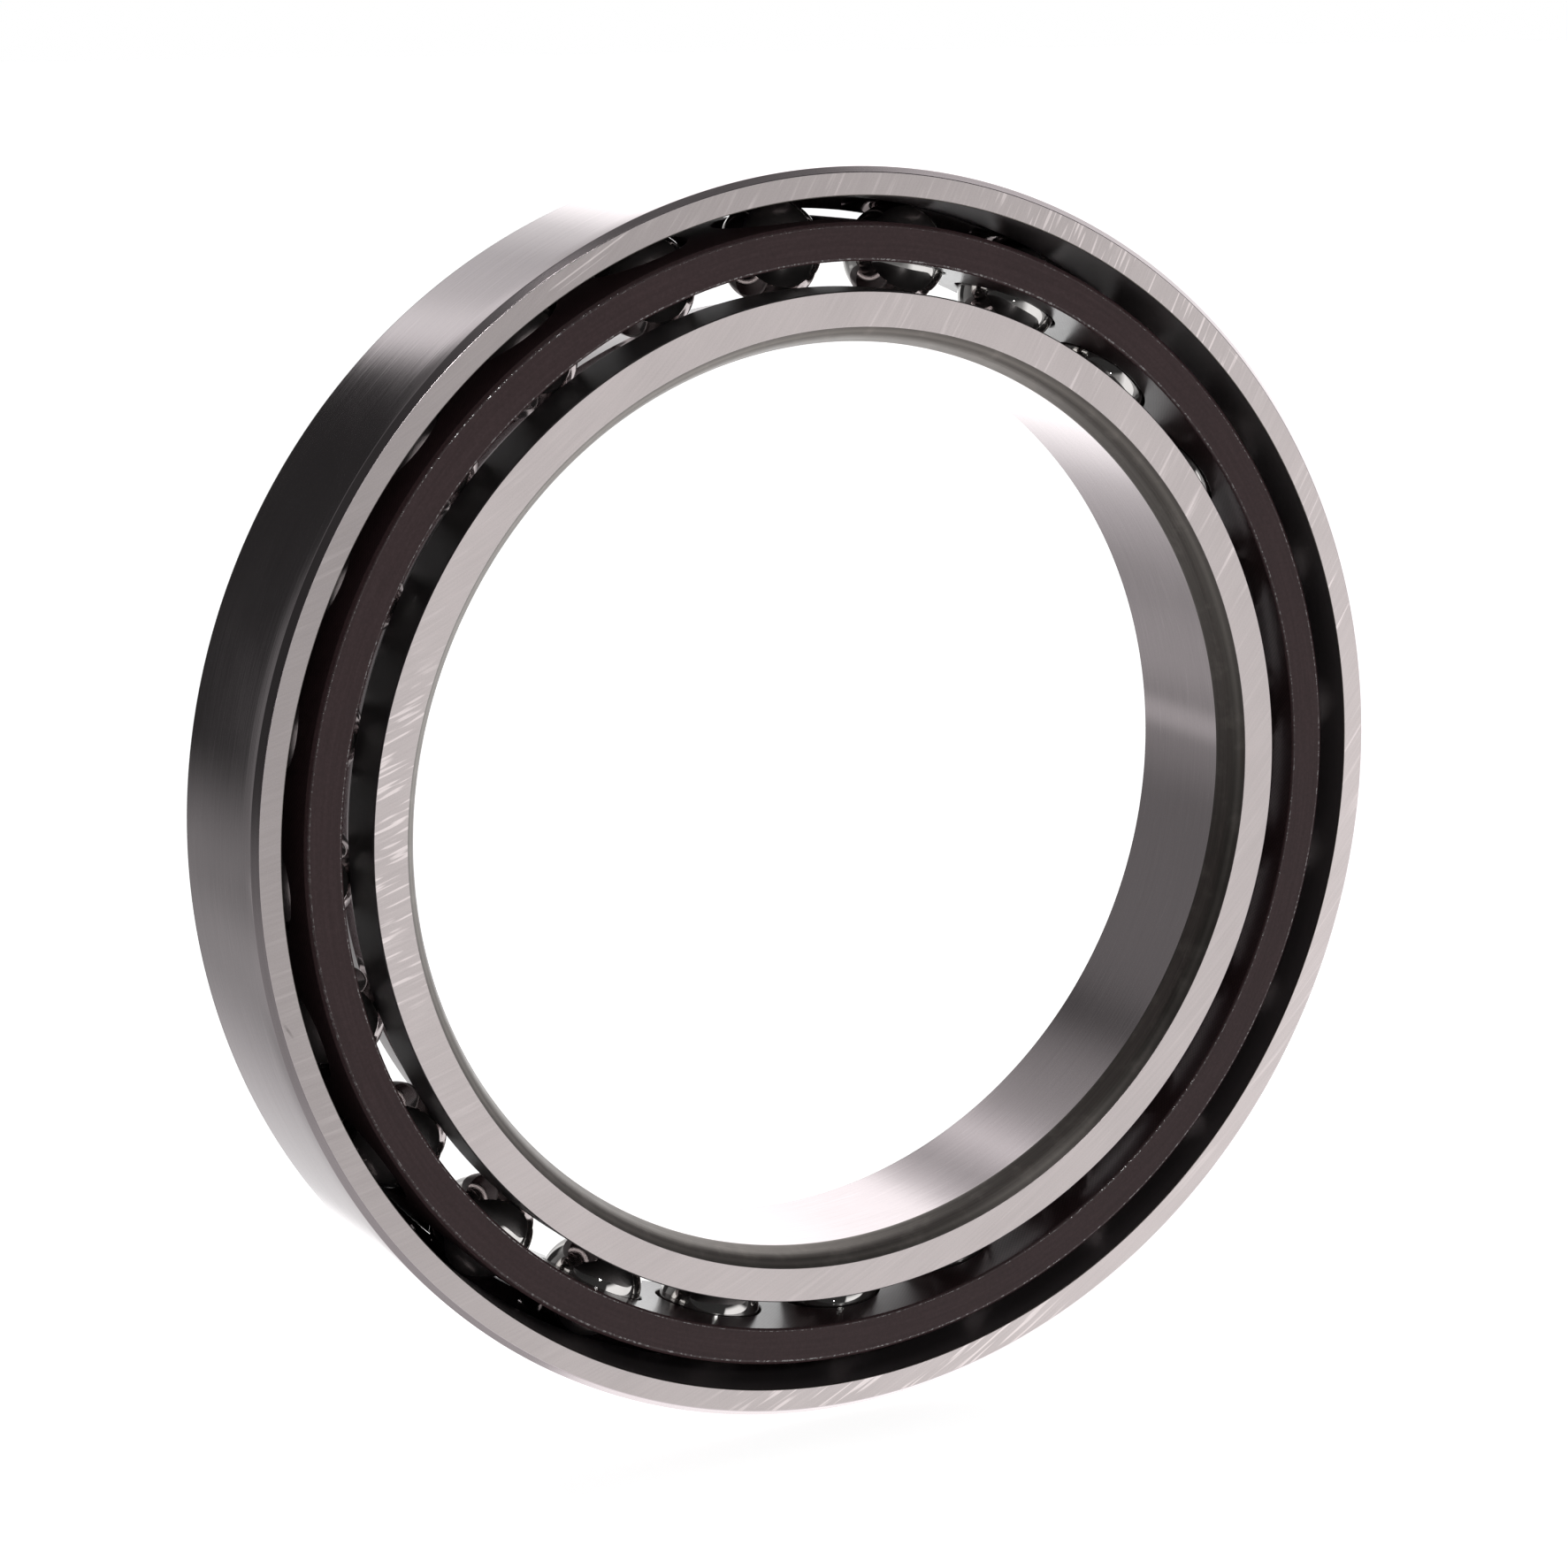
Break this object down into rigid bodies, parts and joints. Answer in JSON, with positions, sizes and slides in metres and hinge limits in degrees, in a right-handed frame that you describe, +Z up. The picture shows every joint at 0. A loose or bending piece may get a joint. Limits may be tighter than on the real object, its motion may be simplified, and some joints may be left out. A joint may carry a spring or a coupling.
{
  "type": "angular contact ball bearing",
  "caption": "Open single-row angular contact ball bearing: ground outer and inner rings, rolling steel balls and a one-piece fabric-reinforced phenolic cage that turns with them.",
  "frame": {"origin": "on the bearing axis, half way across the rings' width", "axes": "Y is the bearing axis; the front face, on the relieved side of the outer ring, looks along -Y, and the high outer shoulder is at +Y; +Z is up with the bearing standing on edge, as its picture shows it"},
  "size_m": [0.11, 0.016, 0.11],
  "materials": {
    "ring_steel": "ground bearing steel: fine straight grinding marks on the faces, fine marks round the bore and the outside diameter, polished raceways",
    "ball_steel": "lapped mirror-bright bearing steel",
    "cage_phenolic": "dark maroon-brown fabric-reinforced phenolic, machined, oily semi-gloss"
  },
  "bodies": {
    "outer_ring": {"outer_ring": "ring_steel"},
    "inner_ring": {"inner_ring": "ring_steel"},
    "cage": {"cage": "cage_phenolic"},
    "ball_01": {"ball_01": "ball_steel"},
    "ball_02": {"ball_02": "ball_steel"},
    "ball_03": {"ball_03": "ball_steel"},
    "ball_04": {"ball_04": "ball_steel"},
    "ball_05": {"ball_05": "ball_steel"},
    "ball_06": {"ball_06": "ball_steel"},
    "ball_07": {"ball_07": "ball_steel"},
    "ball_08": {"ball_08": "ball_steel"},
    "ball_09": {"ball_09": "ball_steel"},
    "ball_10": {"ball_10": "ball_steel"},
    "ball_11": {"ball_11": "ball_steel"},
    "ball_12": {"ball_12": "ball_steel"},
    "ball_13": {"ball_13": "ball_steel"},
    "ball_14": {"ball_14": "ball_steel"},
    "ball_15": {"ball_15": "ball_steel"},
    "ball_16": {"ball_16": "ball_steel"},
    "ball_17": {"ball_17": "ball_steel"},
    "ball_18": {"ball_18": "ball_steel"},
    "ball_19": {"ball_19": "ball_steel"},
    "ball_20": {"ball_20": "ball_steel"},
    "ball_21": {"ball_21": "ball_steel"},
    "ball_22": {"ball_22": "ball_steel"},
    "ball_23": {"ball_23": "ball_steel"},
    "ball_24": {"ball_24": "ball_steel"}
  },
  "joints": [
    {"name": "inner_ring_spin", "type": "hinge", "parent": "outer_ring", "child": "inner_ring", "pos_m": [0, 0, 0], "axis": [0, -1, 0], "continuous": true},
    {"name": "cage_spin", "type": "hinge", "parent": "outer_ring", "child": "cage", "pos_m": [0, 0, 0], "axis": [0, -1, 0], "continuous": true},
    {"name": "ball_01_spin", "type": "hinge", "parent": "cage", "child": "ball_01", "pos_m": [0.0474, 0.0009, 0.00304], "axis": [0.2583, -0.9659, 0.0166], "continuous": true},
    {"name": "ball_02_spin", "type": "hinge", "parent": "cage", "child": "ball_02", "pos_m": [0.045, 0.0009, 0.01521], "axis": [0.2452, -0.9659, 0.0829], "continuous": true},
    {"name": "ball_03_spin", "type": "hinge", "parent": "cage", "child": "ball_03", "pos_m": [0.03953, 0.0009, 0.02633], "axis": [0.2154, -0.9659, 0.1435], "continuous": true},
    {"name": "ball_04_spin", "type": "hinge", "parent": "cage", "child": "ball_04", "pos_m": [0.03137, 0.0009, 0.03567], "axis": [0.1709, -0.9659, 0.1944], "continuous": true},
    {"name": "ball_05_spin", "type": "hinge", "parent": "cage", "child": "ball_05", "pos_m": [0.02107, 0.0009, 0.04257], "axis": [0.1148, -0.9659, 0.232], "continuous": true},
    {"name": "ball_06_spin", "type": "hinge", "parent": "cage", "child": "ball_06", "pos_m": [0.00933, 0.0009, 0.04657], "axis": [0.0508, -0.9659, 0.2538], "continuous": true},
    {"name": "ball_07_spin", "type": "hinge", "parent": "cage", "child": "ball_07", "pos_m": [-0.00304, 0.0009, 0.0474], "axis": [-0.0166, -0.9659, 0.2583], "continuous": true},
    {"name": "ball_08_spin", "type": "hinge", "parent": "cage", "child": "ball_08", "pos_m": [-0.01521, 0.0009, 0.045], "axis": [-0.0829, -0.9659, 0.2452], "continuous": true},
    {"name": "ball_09_spin", "type": "hinge", "parent": "cage", "child": "ball_09", "pos_m": [-0.02633, 0.0009, 0.03953], "axis": [-0.1435, -0.9659, 0.2154], "continuous": true},
    {"name": "ball_10_spin", "type": "hinge", "parent": "cage", "child": "ball_10", "pos_m": [-0.03567, 0.0009, 0.03137], "axis": [-0.1944, -0.9659, 0.1709], "continuous": true},
    {"name": "ball_11_spin", "type": "hinge", "parent": "cage", "child": "ball_11", "pos_m": [-0.04257, 0.0009, 0.02107], "axis": [-0.232, -0.9659, 0.1148], "continuous": true},
    {"name": "ball_12_spin", "type": "hinge", "parent": "cage", "child": "ball_12", "pos_m": [-0.04657, 0.0009, 0.00933], "axis": [-0.2538, -0.9659, 0.0508], "continuous": true},
    {"name": "ball_13_spin", "type": "hinge", "parent": "cage", "child": "ball_13", "pos_m": [-0.0474, 0.0009, -0.00304], "axis": [-0.2583, -0.9659, -0.0166], "continuous": true},
    {"name": "ball_14_spin", "type": "hinge", "parent": "cage", "child": "ball_14", "pos_m": [-0.045, 0.0009, -0.01521], "axis": [-0.2452, -0.9659, -0.0829], "continuous": true},
    {"name": "ball_15_spin", "type": "hinge", "parent": "cage", "child": "ball_15", "pos_m": [-0.03953, 0.0009, -0.02633], "axis": [-0.2154, -0.9659, -0.1435], "continuous": true},
    {"name": "ball_16_spin", "type": "hinge", "parent": "cage", "child": "ball_16", "pos_m": [-0.03137, 0.0009, -0.03567], "axis": [-0.1709, -0.9659, -0.1944], "continuous": true},
    {"name": "ball_17_spin", "type": "hinge", "parent": "cage", "child": "ball_17", "pos_m": [-0.02107, 0.0009, -0.04257], "axis": [-0.1148, -0.9659, -0.232], "continuous": true},
    {"name": "ball_18_spin", "type": "hinge", "parent": "cage", "child": "ball_18", "pos_m": [-0.00933, 0.0009, -0.04657], "axis": [-0.0508, -0.9659, -0.2538], "continuous": true},
    {"name": "ball_19_spin", "type": "hinge", "parent": "cage", "child": "ball_19", "pos_m": [0.00304, 0.0009, -0.0474], "axis": [0.0166, -0.9659, -0.2583], "continuous": true},
    {"name": "ball_20_spin", "type": "hinge", "parent": "cage", "child": "ball_20", "pos_m": [0.01521, 0.0009, -0.045], "axis": [0.0829, -0.9659, -0.2452], "continuous": true},
    {"name": "ball_21_spin", "type": "hinge", "parent": "cage", "child": "ball_21", "pos_m": [0.02633, 0.0009, -0.03953], "axis": [0.1435, -0.9659, -0.2154], "continuous": true},
    {"name": "ball_22_spin", "type": "hinge", "parent": "cage", "child": "ball_22", "pos_m": [0.03567, 0.0009, -0.03137], "axis": [0.1944, -0.9659, -0.1709], "continuous": true},
    {"name": "ball_23_spin", "type": "hinge", "parent": "cage", "child": "ball_23", "pos_m": [0.04257, 0.0009, -0.02107], "axis": [0.232, -0.9659, -0.1148], "continuous": true},
    {"name": "ball_24_spin", "type": "hinge", "parent": "cage", "child": "ball_24", "pos_m": [0.04657, 0.0009, -0.00933], "axis": [0.2538, -0.9659, -0.0508], "continuous": true}
  ],
  "couplings": [
    {"joint": "cage_spin", "follows": "inner_ring_spin", "ratio": 0.45359},
    {"joint": "ball_01_spin", "follows": "inner_ring_spin", "ratio": -5.1589},
    {"joint": "ball_02_spin", "follows": "inner_ring_spin", "ratio": -5.1589},
    {"joint": "ball_03_spin", "follows": "inner_ring_spin", "ratio": -5.1589},
    {"joint": "ball_04_spin", "follows": "inner_ring_spin", "ratio": -5.1589},
    {"joint": "ball_05_spin", "follows": "inner_ring_spin", "ratio": -5.1589},
    {"joint": "ball_06_spin", "follows": "inner_ring_spin", "ratio": -5.1589},
    {"joint": "ball_07_spin", "follows": "inner_ring_spin", "ratio": -5.1589},
    {"joint": "ball_08_spin", "follows": "inner_ring_spin", "ratio": -5.1589},
    {"joint": "ball_09_spin", "follows": "inner_ring_spin", "ratio": -5.1589},
    {"joint": "ball_10_spin", "follows": "inner_ring_spin", "ratio": -5.1589},
    {"joint": "ball_11_spin", "follows": "inner_ring_spin", "ratio": -5.1589},
    {"joint": "ball_12_spin", "follows": "inner_ring_spin", "ratio": -5.1589},
    {"joint": "ball_13_spin", "follows": "inner_ring_spin", "ratio": -5.1589},
    {"joint": "ball_14_spin", "follows": "inner_ring_spin", "ratio": -5.1589},
    {"joint": "ball_15_spin", "follows": "inner_ring_spin", "ratio": -5.1589},
    {"joint": "ball_16_spin", "follows": "inner_ring_spin", "ratio": -5.1589},
    {"joint": "ball_17_spin", "follows": "inner_ring_spin", "ratio": -5.1589},
    {"joint": "ball_18_spin", "follows": "inner_ring_spin", "ratio": -5.1589},
    {"joint": "ball_19_spin", "follows": "inner_ring_spin", "ratio": -5.1589},
    {"joint": "ball_20_spin", "follows": "inner_ring_spin", "ratio": -5.1589},
    {"joint": "ball_21_spin", "follows": "inner_ring_spin", "ratio": -5.1589},
    {"joint": "ball_22_spin", "follows": "inner_ring_spin", "ratio": -5.1589},
    {"joint": "ball_23_spin", "follows": "inner_ring_spin", "ratio": -5.1589},
    {"joint": "ball_24_spin", "follows": "inner_ring_spin", "ratio": -5.1589}
  ]
}
